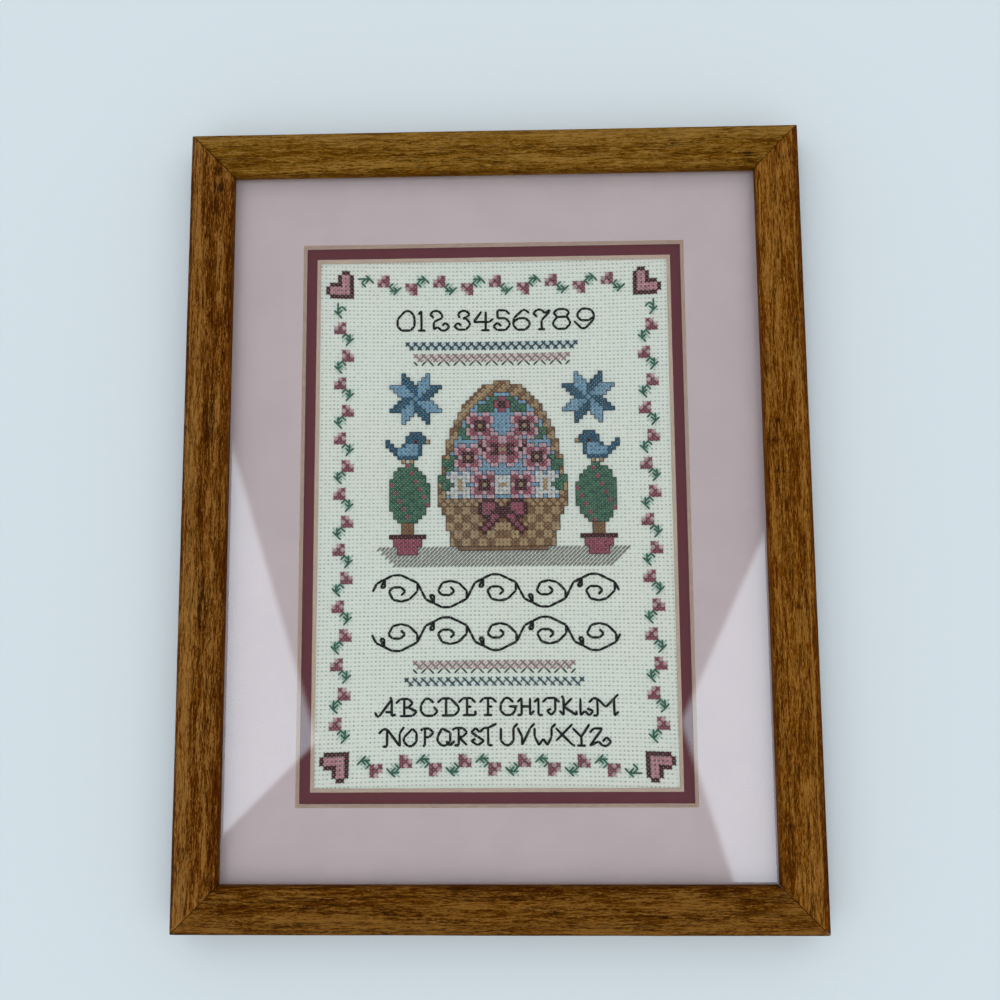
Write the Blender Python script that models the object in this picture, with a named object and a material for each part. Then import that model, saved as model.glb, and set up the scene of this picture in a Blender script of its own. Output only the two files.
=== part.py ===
"""Framed cross stitch sampler, lying on its back.

A mitred oak frame holds, from the face down, a sheet of glass, a pink mat, a burgundy mat,
a flat piece of Aida cloth and the board that the cloth is stretched over.
X runs to the sampler's right, Y towards its top and Z out of its face. The origin is the
middle of the frame's back.
"""
import math

import bmesh
import bpy

for old_object in list(bpy.data.objects):
    bpy.data.objects.remove(old_object)

MM = 0.001

# The glass, mats, cloth and board share one standard size, 10 by 13 inches
PANEL_WIDTH = 254.0 * MM
PANEL_HEIGHT = 330.2 * MM

# Every piece keeps this gap to its neighbours
GAP = 0.3 * MM

# The stack in the rebate, from the back of the frame upwards
BOARD_RECESS = 1.0 * MM
BOARD_THICKNESS = 3.0 * MM
CLOTH_THICKNESS = 1.0 * MM
MAT_THICKNESS = 1.4 * MM
GLASS_THICKNESS = 2.0 * MM

# Aida with 14 squares to the inch; the inner window shows this many of them
SQUARE = 25.4 * MM / 14
SQUARES_SHOWN_ACROSS = 87.2
SQUARES_SHOWN_DOWN = 129.7

# How much of the inner mat's face shows inside the outer mat's window
REVEAL_SIDE = 4.6 * MM
REVEAL_END = 4.8 * MM

# The windows are cut a little left of the panel's middle
WINDOW_SHIFT = -0.4 * MM

# The moulding, seen in section: u runs outwards from the sight edge, z up from the back
LIP_COVER = 8.9 * MM
RAIL_WIDTH = 19.5 * MM
LIP_ARRIS_HEIGHT = 15.7 * MM
LIP_ROUNDING = 2.2 * MM
RIDGE_FROM_SIGHT = 15.0 * MM
RIDGE_HEIGHT = 18.7 * MM
RIDGE_ROUNDING = 10.0 * MM
SHOULDER_HEIGHT = 16.1 * MM
SHOULDER_ROUNDING = 2.2 * MM
BACK_ARRIS_ROUNDING = 0.5 * MM
STEPS_PER_ROUNDING = 6

# The sanded outer corners of the joined frame
CORNER_ROUNDING = 1.2 * MM
CORNER_STEPS = 4

# Faces that meet at less than this many degrees are shaded as one round face
SMOOTH_BELOW = 32

# Levels worked out from the stack
BOARD_BACK = BOARD_RECESS
CLOTH_BACK = BOARD_BACK + BOARD_THICKNESS + GAP
INNER_MAT_BACK = CLOTH_BACK + CLOTH_THICKNESS + GAP
OUTER_MAT_BACK = INNER_MAT_BACK + MAT_THICKNESS + GAP
GLASS_BACK = OUTER_MAT_BACK + MAT_THICKNESS + GAP
REBATE_ROOF = GLASS_BACK + GLASS_THICKNESS + GAP

# Plan sizes worked out from the panel and the cloth
SIGHT_WIDTH = PANEL_WIDTH - 2 * LIP_COVER
SIGHT_HEIGHT = PANEL_HEIGHT - 2 * LIP_COVER
REBATE_WIDTH = LIP_COVER + GAP
MITRE_SETBACK = GAP / 2 * math.sqrt(2)
INNER_WINDOW_WIDTH = SQUARES_SHOWN_ACROSS * SQUARE
INNER_WINDOW_HEIGHT = SQUARES_SHOWN_DOWN * SQUARE
OUTER_WINDOW_WIDTH = INNER_WINDOW_WIDTH + 2 * (MAT_THICKNESS + REVEAL_SIDE)
OUTER_WINDOW_HEIGHT = INNER_WINDOW_HEIGHT + 2 * (MAT_THICKNESS + REVEAL_END)


def finish_material(name, colour, roughness, alpha=1.0, transmission=0.0):
    """A plain finish: the piece's own colour and roughness."""
    material = bpy.data.materials.new(name)
    material.use_nodes = True
    shader = material.node_tree.nodes["Principled BSDF"]
    shader.inputs["Base Color"].default_value = (*colour, 1.0)
    shader.inputs["Roughness"].default_value = roughness
    shader.inputs["Metallic"].default_value = 0.0
    shader.inputs["Alpha"].default_value = alpha
    shader.inputs["Transmission Weight"].default_value = transmission
    return material


def add_piece(name, mesh_builder, material):
    """Turn a finished bmesh into a named object with its own material."""
    bmesh.ops.recalc_face_normals(mesh_builder, faces=mesh_builder.faces)
    mesh = bpy.data.meshes.new(name)
    mesh_builder.to_mesh(mesh)
    mesh_builder.free()
    mesh.materials.append(material)
    piece = bpy.data.objects.new(name, mesh)
    bpy.context.scene.collection.objects.link(piece)
    return piece


def rounded_outline(corners, steps):
    """Round each (x, y, radius) corner of an outline that turns left all the way or right."""
    points = []
    count = len(corners)
    for index in range(count):
        x, y, radius = corners[index]
        if radius == 0:
            points.append((x, y))
            continue
        back_x, back_y, _ = corners[index - 1]
        next_x, next_y, _ = corners[(index + 1) % count]
        heading_in = math.atan2(y - back_y, x - back_x)
        heading_out = math.atan2(next_y - y, next_x - x)
        turn = math.remainder(heading_out - heading_in, 2 * math.pi)
        side = math.copysign(1, turn)
        cut_back = radius * math.tan(abs(turn) / 2)
        start_x = x - cut_back * math.cos(heading_in)
        start_y = y - cut_back * math.sin(heading_in)
        centre_x = start_x - side * radius * math.sin(heading_in)
        centre_y = start_y + side * radius * math.cos(heading_in)
        for step in range(steps + 1):
            heading = heading_in + turn * step / steps
            points.append((
                centre_x + side * radius * math.sin(heading),
                centre_y - side * radius * math.cos(heading),
            ))
    return points


def moulding_section():
    """The rail's section as (u, z) points, starting at the foot of the inner wall."""
    corners = [
        (0.0, REBATE_ROOF, 0.0),
        (0.0, LIP_ARRIS_HEIGHT, LIP_ROUNDING),
        (RIDGE_FROM_SIGHT, RIDGE_HEIGHT, RIDGE_ROUNDING),
        (RAIL_WIDTH, SHOULDER_HEIGHT, SHOULDER_ROUNDING),
        (RAIL_WIDTH, 0.0, BACK_ARRIS_ROUNDING),
        (REBATE_WIDTH, 0.0, 0.0),
        (REBATE_WIDTH, REBATE_ROOF, 0.0),
    ]
    return rounded_outline(corners, STEPS_PER_ROUNDING)


def add_slab(name, width, height, back, thickness, material):
    """A flat rectangular sheet centred in the frame."""
    builder = bmesh.new()
    bmesh.ops.create_cube(builder, size=1.0)
    bmesh.ops.scale(builder, vec=(width, height, thickness), verts=builder.verts)
    bmesh.ops.translate(builder, vec=(0, 0, back + thickness / 2), verts=builder.verts)
    return add_piece(name, builder, material)


def ring_of_corners(builder, width, height, z, shift_x=0.0):
    """The four corners of a level rectangle, anticlockwise from the lower left."""
    signs = ((-1, -1), (1, -1), (1, 1), (-1, 1))
    return [builder.verts.new((shift_x + sx * width / 2, sy * height / 2, z)) for sx, sy in signs]


def add_mat(name, back, window_width, window_height, material):
    """A mat board whose window is bevelled at 45 degrees and is smallest at the back."""
    front = back + MAT_THICKNESS
    bevel = 2 * MAT_THICKNESS
    builder = bmesh.new()
    loops = [
        ring_of_corners(builder, PANEL_WIDTH, PANEL_HEIGHT, back),
        ring_of_corners(builder, PANEL_WIDTH, PANEL_HEIGHT, front),
        ring_of_corners(builder, window_width + bevel, window_height + bevel, front, WINDOW_SHIFT),
        ring_of_corners(builder, window_width, window_height, back, WINDOW_SHIFT),
    ]
    for index, loop in enumerate(loops):
        following = loops[(index + 1) % len(loops)]
        for corner in range(4):
            after = (corner + 1) % 4
            builder.faces.new((loop[corner], loop[after], following[after], following[corner]))
    return add_piece(name, builder, material)


def add_corner_shape(material):
    """The guide that sands the joined frame's four outer corners round."""
    half_width = SIGHT_WIDTH / 2 + RAIL_WIDTH
    half_height = SIGHT_HEIGHT / 2 + RAIL_WIDTH
    corners = [
        (half_width, -half_height, CORNER_ROUNDING),
        (half_width, half_height, CORNER_ROUNDING),
        (-half_width, half_height, CORNER_ROUNDING),
        (-half_width, -half_height, CORNER_ROUNDING),
    ]
    outline = rounded_outline(corners, CORNER_STEPS)
    builder = bmesh.new()
    floor = builder.faces.new([builder.verts.new((x, y, -RIDGE_HEIGHT)) for x, y in outline])
    grown = bmesh.ops.extrude_face_region(builder, geom=[floor])
    risen = [item for item in grown["geom"] if isinstance(item, bmesh.types.BMVert)]
    bmesh.ops.translate(builder, vec=(0, 0, 3 * RIDGE_HEIGHT), verts=risen)
    guide = add_piece("corner_shape", builder, material)
    guide.hide_render = True
    guide.display_type = "WIRE"
    return guide


def add_rail(name, length, distance, turn, guide, material):
    """One mitred rail. It is built along X beyond the sight edge, then turned into place."""
    builder = bmesh.new()
    ends = []
    for side in (-1, 1):
        ring = []
        for u, z in moulding_section():
            reach = side * (length / 2 + u - MITRE_SETBACK)
            ring.append(builder.verts.new((reach, distance + u, z)))
        ends.append(ring)
    left, right = ends
    count = len(left)
    for index in range(count):
        after = (index + 1) % count
        builder.faces.new((left[index], left[after], right[after], right[index]))
    builder.faces.new(left)
    builder.faces.new(right)
    rail = add_piece(name, builder, material)
    rail.rotation_euler = (0, 0, math.radians(turn))
    rail.data.shade_smooth()
    rail.data.set_sharp_from_angle(angle=math.radians(SMOOTH_BELOW))
    trim = rail.modifiers.new("sanded corners", "BOOLEAN")
    trim.operation = "INTERSECT"
    trim.solver = "EXACT"
    trim.object = guide
    return rail


oak = finish_material("honey oak", (0.28, 0.13, 0.04), 0.42)
clear_glass = finish_material("picture glass", (0.9, 0.95, 0.93), 0.03, 0.25, 1.0)
pink_board = finish_material("pink mauve mat board", (0.47, 0.39, 0.43), 0.9)
burgundy_board = finish_material("burgundy mat board", (0.13, 0.045, 0.06), 0.85)
ivory_cotton = finish_material("ivory Aida cotton", (0.61, 0.65, 0.58), 0.95)
grey_board = finish_material("grey board", (0.42, 0.38, 0.32), 0.9)

corner_guide = add_corner_shape(oak)
add_rail("rail_top", SIGHT_WIDTH, SIGHT_HEIGHT / 2, 0, corner_guide, oak)
add_rail("rail_left", SIGHT_HEIGHT, SIGHT_WIDTH / 2, 90, corner_guide, oak)
add_rail("rail_bottom", SIGHT_WIDTH, SIGHT_HEIGHT / 2, 180, corner_guide, oak)
add_rail("rail_right", SIGHT_HEIGHT, SIGHT_WIDTH / 2, 270, corner_guide, oak)

add_slab("mounting_board", PANEL_WIDTH, PANEL_HEIGHT, BOARD_BACK, BOARD_THICKNESS, grey_board)
add_slab("stitched_cloth", PANEL_WIDTH, PANEL_HEIGHT, CLOTH_BACK, CLOTH_THICKNESS, ivory_cotton)
add_mat("inner_mat", INNER_MAT_BACK, INNER_WINDOW_WIDTH, INNER_WINDOW_HEIGHT, burgundy_board)
add_mat("outer_mat", OUTER_MAT_BACK, OUTER_WINDOW_WIDTH, OUTER_WINDOW_HEIGHT, pink_board)
add_slab("glazing", PANEL_WIDTH, PANEL_HEIGHT, GLASS_BACK, GLASS_THICKNESS, clear_glass)
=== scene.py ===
# The looks of a framed cross stitch sampler that lies on its back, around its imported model.
import math
import random

import bpy
import numpy as np
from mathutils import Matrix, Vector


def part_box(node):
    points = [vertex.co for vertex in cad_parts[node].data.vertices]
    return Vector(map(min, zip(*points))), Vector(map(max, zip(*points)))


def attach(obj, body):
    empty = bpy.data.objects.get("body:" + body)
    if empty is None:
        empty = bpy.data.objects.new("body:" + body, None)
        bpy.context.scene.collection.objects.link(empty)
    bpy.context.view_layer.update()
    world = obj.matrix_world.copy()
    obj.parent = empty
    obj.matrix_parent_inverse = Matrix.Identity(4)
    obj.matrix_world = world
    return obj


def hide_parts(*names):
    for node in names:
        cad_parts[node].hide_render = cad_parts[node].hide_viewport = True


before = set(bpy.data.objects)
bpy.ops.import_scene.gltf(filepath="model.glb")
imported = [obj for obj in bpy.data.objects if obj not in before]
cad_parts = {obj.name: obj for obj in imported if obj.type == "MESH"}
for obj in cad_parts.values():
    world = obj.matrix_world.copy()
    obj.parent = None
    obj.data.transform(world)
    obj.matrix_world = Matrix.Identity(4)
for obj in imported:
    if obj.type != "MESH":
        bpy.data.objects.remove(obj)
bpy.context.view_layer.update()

# Mounting board: a sheet of grey pulp board, cut to the size of the glass. The cloth is stretched
# over it, and its bare back closes the frame.


def math_node(operation, swapped=False):
    """A method that adds a Math node of the value and what it is given, which is first if swapped."""
    def method(value, *others):
        values = (*others, value) if swapped else (value, *others)
        return value.nodes.node("Math", {"operation": operation}, dict(enumerate(values)))

    return method


class Value:
    """What one socket gives. Arithmetic on it adds Math nodes to its tree."""

    __add__ = __radd__ = math_node("ADD")
    __sub__ = math_node("SUBTRACT")
    __rsub__ = math_node("SUBTRACT", swapped=True)
    __mul__ = __rmul__ = math_node("MULTIPLY")
    __truediv__ = math_node("DIVIDE")
    __rtruediv__ = math_node("DIVIDE", swapped=True)
    __pow__ = math_node("POWER")
    __rpow__ = math_node("POWER", swapped=True)
    __abs__ = math_node("ABSOLUTE")
    __round__ = math_node("ROUND")
    sine = math_node("SINE")
    most = math_node("MAXIMUM")

    def __init__(self, nodes, socket):
        self.nodes = nodes
        self.socket = socket

    def ramp(self, low, high):
        """A smooth rise from 0 at low to 1 at high, or a fall where low is the greater."""
        rising = low < high
        ends = {1: min(low, high), 2: max(low, high), 3: 0.0 if rising else 1.0}
        return self.nodes.node(
            "MapRange", {"interpolation_type": "SMOOTHSTEP"}, {0: self, **ends, 4: 1.0 - ends[3]}
        )


class Nodes:
    """A tree of shader nodes."""

    def __init__(self, tree):
        self.tree = tree

    def parts(self, vector):
        return [self.node("SeparateXYZ", {}, {0: vector}, output=axis) for axis in range(3)]

    def feed(self, made, sockets):
        for key, value in sockets.items():
            if isinstance(value, Value):
                self.tree.links.new(value.socket, made.inputs[key])
            else:
                made.inputs[key].default_value = value

    def node(self, kind, settings, sockets, output=0):
        """Any node: its settings are set first, then its sockets get values or links."""
        made = self.tree.nodes.new("ShaderNode" + kind)
        for key, value in settings.items():
            setattr(made, key, value)
        self.feed(made, sockets)
        return Value(self, made.outputs[output])


class Finish(Nodes):
    """A material: a Principled shader with uniform values, and the nodes that vary it."""

    def __init__(self, name, uniform):
        self.material = bpy.data.materials.new(name)
        self.material.use_nodes = True
        super().__init__(self.material.node_tree)
        self.shader = self.tree.nodes["Principled BSDF"]
        self.feed(self.shader, uniform)
        self.place = self.node("TexCoord", {}, {}, output="Object")
        self.x, self.y, self.z = self.parts(self.place)

    def vary(self, **sockets):
        """Feed the shader's own sockets, whose names are given with _ for a space."""
        self.feed(self.shader, {name.replace("_", " "): value for name, value in sockets.items()})

    def mix(self, share, first, second):
        """A colour that is the first one at 0 and the second at 1."""
        return self.node("Mix", {"data_type": "RGBA"}, {0: share, 6: first, 7: second}, output=2)

    def noise(self, along, across, up, detail=2.0, roughness=0.5, distortion=0.0, seed=0.0):
        """Noise with so many turns a millimetre along each axis."""
        scales = tuple(turns / MM for turns in (along, across, up))
        shift = (seed, seed * 1.7, seed * 2.3)
        stretched = self.node(
            "VectorMath", {"operation": "MULTIPLY_ADD"}, {0: self.place, 1: scales, 2: shift}
        )
        return self.node("TexNoise", {}, {
            "Vector": stretched, "Scale": 1.0, "Detail": detail, "Roughness": roughness,
            "Distortion": distortion,
        })

    def bump(self, height, depth):
        """Relief of the given depth in metres."""
        return self.node("Bump", {}, {"Strength": 1.0, "Distance": depth, "Height": height})


def colour(red, green, blue):
    """A colour given in the 0 to 255 numbers of a screen, as a shader takes it."""
    shares = (channel / 255 for channel in (red, green, blue))
    linear = [s / 12.92 if s <= 0.04045 else ((s + 0.055) / 1.055) ** 2.4 for s in shares]
    return (*linear, 1.0)


def dress(node, material):
    """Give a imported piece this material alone."""
    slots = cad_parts[node].data.materials
    slots.clear()
    slots.append(material)


MM = 0.001

board_finish = Finish("grey pulp board", {"Roughness": 0.9})
pulp = board_finish.noise(0.9, 0.9, 0.9, detail=6, roughness=0.7)
fibres = board_finish.noise(0.5, 6.0, 3.0, detail=3, seed=4.0).ramp(0.62, 0.74)
board_tone = board_finish.mix(pulp.ramp(0.3, 0.7), colour(166, 158, 144), colour(184, 176, 162))
board_tone = board_finish.mix(fibres * 0.6, board_tone, colour(128, 117, 100))
board_finish.vary(Base_Color=board_tone, Normal=board_finish.bump(pulp - fibres, 0.08 * MM))
dress("mounting_board", board_finish.material)

# Cloth: ivory cotton Aida with 14 squares to the inch, stretched flat over the board. Each square
# is a puffed block of four threads each way, and the needle's holes lie between the blocks. The
# close stitching in the middle draws the cloth in, so its rows bow and its columns are waisted.
SQUARE = 25.4 * MM / 14
CHART_COLUMNS = 84
CHART_ROWS = 126
FIRST_COLUMN, LAST_COLUMN = -3, 86
FIRST_ROW, LAST_ROW = -3, 129
HOLE_REACH = 0.27 * MM
HOLE_DEPTH = 0.45 * MM
RIM_SINK = 0.05 * MM
PUFF = 0.06 * MM
HOLE_WANDER = 0.035 * MM
RIM_UNEVEN = 0.02 * MM
BLOCK_UNEVEN = 0.03 * MM
CLOTH_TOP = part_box("stitched_cloth")[1].z


def chart_place(column, row):
    """Where a point of the chart lies, counted in squares from the chart's top left corner.

    The stitching draws it to the right and up by so many millimetres from an even grid.
    """
    across = column / (CHART_COLUMNS / 2) - 1
    down = row / (CHART_ROWS / 2) - 1
    right = 0.25 * down - 0.3 + across * (1.1 * down ** 2 + 0.4 * down - 0.2)
    up = 2.5 * down - 1.86 * down ** 3 - 1.5 * down * across ** 2 - 0.6
    x = across * CHART_COLUMNS / 2 * SQUARE + right * MM
    y = up * MM - down * CHART_ROWS / 2 * SQUARE
    return x, y


def new_piece(name, mesh):
    """Put a finished mesh in the scene as a piece that rides on the frame."""
    piece = bpy.data.objects.new(name, mesh)
    bpy.context.scene.collection.objects.link(piece)
    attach(piece, "root")
    return piece


def weave_cloth():
    """The cloth's mesh: blocks and holes where it shows, and a plain margin with a back."""
    drift = np.random.default_rng(14)
    columns = LAST_COLUMN - FIRST_COLUMN
    rows = LAST_ROW - FIRST_ROW
    grid_x, grid_y = np.meshgrid(
        np.arange(columns + 1) + FIRST_COLUMN, np.arange(rows + 1) + FIRST_ROW, indexing="ij"
    )
    corner_x, corner_y = chart_place(grid_x, grid_y)
    corner_x = corner_x + drift.normal(0, HOLE_WANDER, corner_x.shape)
    corner_y = corner_y + drift.normal(0, HOLE_WANDER, corner_y.shape)
    points, squares = [], []

    def add_layer(x, y, z, column, row):
        start = sum(len(layer) for layer in points)
        points.append(np.stack([x.ravel(), y.ravel(), z.ravel()], axis=1))
        squares.append(np.stack([column.ravel(), row.ravel()], axis=1))
        return start + np.arange(x.size).reshape(x.shape)

    rim_z = CLOTH_TOP - RIM_SINK + drift.normal(0, RIM_UNEVEN, corner_x.shape)
    reach = HOLE_REACH * drift.uniform(0.6, 1.2, corner_x.shape)
    part = reach / SQUARE
    sink = HOLE_DEPTH * drift.uniform(0.3, 1.0, corner_x.shape)
    hole = add_layer(corner_x, corner_y, rim_z - sink, grid_x, grid_y)
    right, left, above, below = (
        add_layer(
            corner_x + x * reach, corner_y + y * reach, rim_z, grid_x + x * part, grid_y - y * part
        )
        for x, y in ((1, 0), (-1, 0), (0, 1), (0, -1))
    )
    middle_x = (corner_x[:-1, :-1] + corner_x[1:, 1:]) / 2
    middle_y = (corner_y[:-1, :-1] + corner_y[1:, 1:]) / 2
    middle_z = CLOTH_TOP + PUFF + drift.normal(0, BLOCK_UNEVEN, middle_x.shape)
    middle = add_layer(middle_x, middle_y, middle_z, grid_x[:-1, :-1] + 0.5, grid_y[:-1, :-1] + 0.5)

    faces = []
    rings = [
        right[:-1, 1:], left[1:, 1:], above[1:, 1:], below[1:, :-1],
        left[1:, :-1], right[:-1, :-1], below[:-1, :-1], above[:-1, 1:],
    ]
    for index, ring in enumerate(rings):
        after = rings[(index + 1) % len(rings)]
        faces.append(np.stack([middle.ravel(), ring.ravel(), after.ravel()], axis=1))
    inside_x = (grid_x > FIRST_COLUMN, grid_x < LAST_COLUMN)
    inside_y = (grid_y > FIRST_ROW, grid_y < LAST_ROW)
    quarters = [
        (right, above, inside_x[1] & inside_y[0]),
        (above, left, inside_x[0] & inside_y[0]),
        (left, below, inside_x[0] & inside_y[1]),
        (below, right, inside_x[1] & inside_y[1]),
    ]
    for first, second, kept in quarters:
        faces.append(np.stack([hole[kept], first[kept], second[kept]], axis=1))

    def edge(hole_line, towards, back):
        return np.stack([hole_line[:-1], towards[:-1], back[1:]], axis=1).ravel()

    rim = np.concatenate([
        edge(hole[:, -1], right[:, -1], left[:, -1]),
        edge(hole[-1, ::-1], above[-1, ::-1], below[-1, ::-1]),
        edge(hole[::-1, 0], left[::-1, 0], right[::-1, 0]),
        edge(hole[0], below[0], above[0]),
    ])
    placed = np.concatenate(points)
    low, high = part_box("stitched_cloth")
    inner_low, inner_high = placed[rim].min(axis=0), placed[rim].max(axis=0)
    share = (placed[rim] - inner_low) / (inner_high - inner_low)
    margin_x = low.x + share[:, 0] * (high.x - low.x)
    margin_y = low.y + share[:, 1] * (high.y - low.y)
    margin_column = FIRST_COLUMN + share[:, 0] * columns
    margin_row = LAST_ROW - share[:, 1] * rows
    front = np.full(len(rim), CLOTH_TOP - RIM_SINK)
    rear = np.full(len(rim), low.z + RIM_SINK)
    outer = add_layer(margin_x, margin_y, front, margin_column, margin_row)
    under = add_layer(margin_x, margin_y, rear, margin_column, margin_row)
    back = add_layer(np.zeros(1), np.zeros(1), rear[:1], np.zeros(1), np.zeros(1))
    for loop, following in ((rim, outer), (outer, under)):
        turned, turned_following = np.roll(loop, -1), np.roll(following, -1)
        faces.append(np.stack([loop, following, turned_following], axis=1))
        faces.append(np.stack([loop, turned_following, turned], axis=1))
    faces.append(np.stack([under, np.full(len(rim), back[0]), np.roll(under, -1)], axis=1))
    faces = np.concatenate(faces)
    mesh = bpy.data.meshes.new("cloth")
    mesh.from_pydata(np.concatenate(points).tolist(), [], faces.tolist())
    squares = np.concatenate(squares)
    mesh.uv_layers.new(name="squares").uv.foreach_set("vector", squares[faces.ravel()].ravel())
    mesh.shade_smooth()
    return mesh


cotton = Finish("ivory Aida cotton", {"Roughness": 0.92, "Specular IOR Level": 0.25})
across_squares, down_squares = cotton.parts(cotton.node("UVMap", {"uv_map": "squares"}, {}))[:2]
lint = cotton.noise(3.0, 3.0, 3.0, detail=4, roughness=0.7)
slack = cotton.noise(0.5, 0.5, 0.5, detail=3, roughness=0.6, seed=2.0)
hole_x = across_squares - round(across_squares) + (slack - 0.5) * 0.16
hole_y = down_squares - round(down_squares) + (lint - 0.5) * 0.16
# Painted shade in the needle's holes: a soft dark spot at each corner of the squares.
hole_shade = (hole_x * hole_x + hole_y * hole_y).ramp(0.1, 0.0) * slack.ramp(0.25, 0.65)
# Masks along the lines between the blocks: the columns take a painted highlight, the rows painted shade.
column_highlight = abs(hole_x).ramp(0.22, 0.04)
row_groove_shade = abs(hole_y).ramp(0.22, 0.04)
warp = (across_squares * (4 * math.pi)).sine()
weft = (down_squares * (4 * math.pi)).sine()
warp_over = (warp * weft).ramp(-0.3, 0.3)
threads = abs(warp) * warp_over + abs(weft) * (1.0 - warp_over)
ageing = cotton.noise(0.02, 0.02, 0.02, detail=3).ramp(0.3, 0.7)
cloth_tone = cotton.mix(ageing, colour(252, 254, 244), colour(255, 254, 242))
# Painted shade: the cloth darkens where the threads of the weave dip between one another.
cloth_tone = cotton.mix(threads.ramp(0.0, 0.7) * 0.3 + 0.7, colour(210, 219, 206), cloth_tone)
# Painted shade along the rows between the blocks, then a painted highlight along the columns.
cloth_tone = cotton.mix(row_groove_shade * 0.25, cloth_tone, colour(214, 221, 210))
cloth_tone = cotton.mix(column_highlight * (1 - row_groove_shade) * 0.6, cloth_tone, colour(255, 255, 250))
cloth_tone = cotton.mix(lint.ramp(0.55, 0.35) * 0.3, cloth_tone, colour(206, 214, 202))
# Painted shade: the spots at the holes are darkened to a grey green.
cloth_tone = cotton.mix(hole_shade * 0.7, cloth_tone, colour(128, 140, 124))
cotton.vary(
    Base_Color=cloth_tone,
    Normal=cotton.bump(threads * 0.8 + lint * 0.4, 0.16 * MM),
)
cloth = new_piece("aida_cloth", weave_cloth())
cloth.data.materials.append(cotton.material)
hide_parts("stitched_cloth")

# Corner hearts: whole cross stitches in two strands of cotton, a rose filling inside a burgundy
# edge. Every leg goes down a hole, over the blocks and into the hole across from it.
STRAND_SIDES = 6
STRAND_RADIUS = 0.235 * MM
TURNS_A_LEG = 3
yarn_chance = np.random.default_rng(7)


def yarn_finish(name, red, green, blue):
    """Stranded cotton: silky, with the twist of its plies, and with painted shade where it goes down a
    hole.
    """
    finish = Finish(name, {
        "Roughness": 0.62, "Specular IOR Level": 0.1 + 0.001 * red, "Sheen Weight": 0.001 * red,
    })
    round_strand, along_strand = finish.parts(finish.node("UVMap", {"uv_map": "strand"}, {}))[:2]
    twist = ((round_strand + along_strand) * (2 * math.pi)).sine()
    dye = finish.noise(0.8, 0.8, 0.8, detail=2).ramp(0.3, 0.7)
    hairs = finish.noise(6.0, 6.0, 6.0, detail=2)
    dark = colour(red * 0.8, green * 0.8, blue * 0.8)
    light = colour(*(min(255, channel * 1.1 + 6) for channel in (red, green, blue)))
    tone = finish.mix(dye * 0.6 + twist * 0.15 + 0.2, dark, light)
    # Painted shade: each leg darkens towards both ends, where it dives into its hole.
    from_hole = TURNS_A_LEG / 2 - abs(along_strand - TURNS_A_LEG / 2)
    shaded = from_hole.ramp(0.6, 0.15)
    tone = finish.mix(shaded * 0.8, tone, colour(red * 0.35, green * 0.35, blue * 0.35))
    finish.vary(Base_Color=tone, Normal=finish.bump(twist * 0.5 + hairs, 0.06 * MM))
    return finish.material


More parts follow.
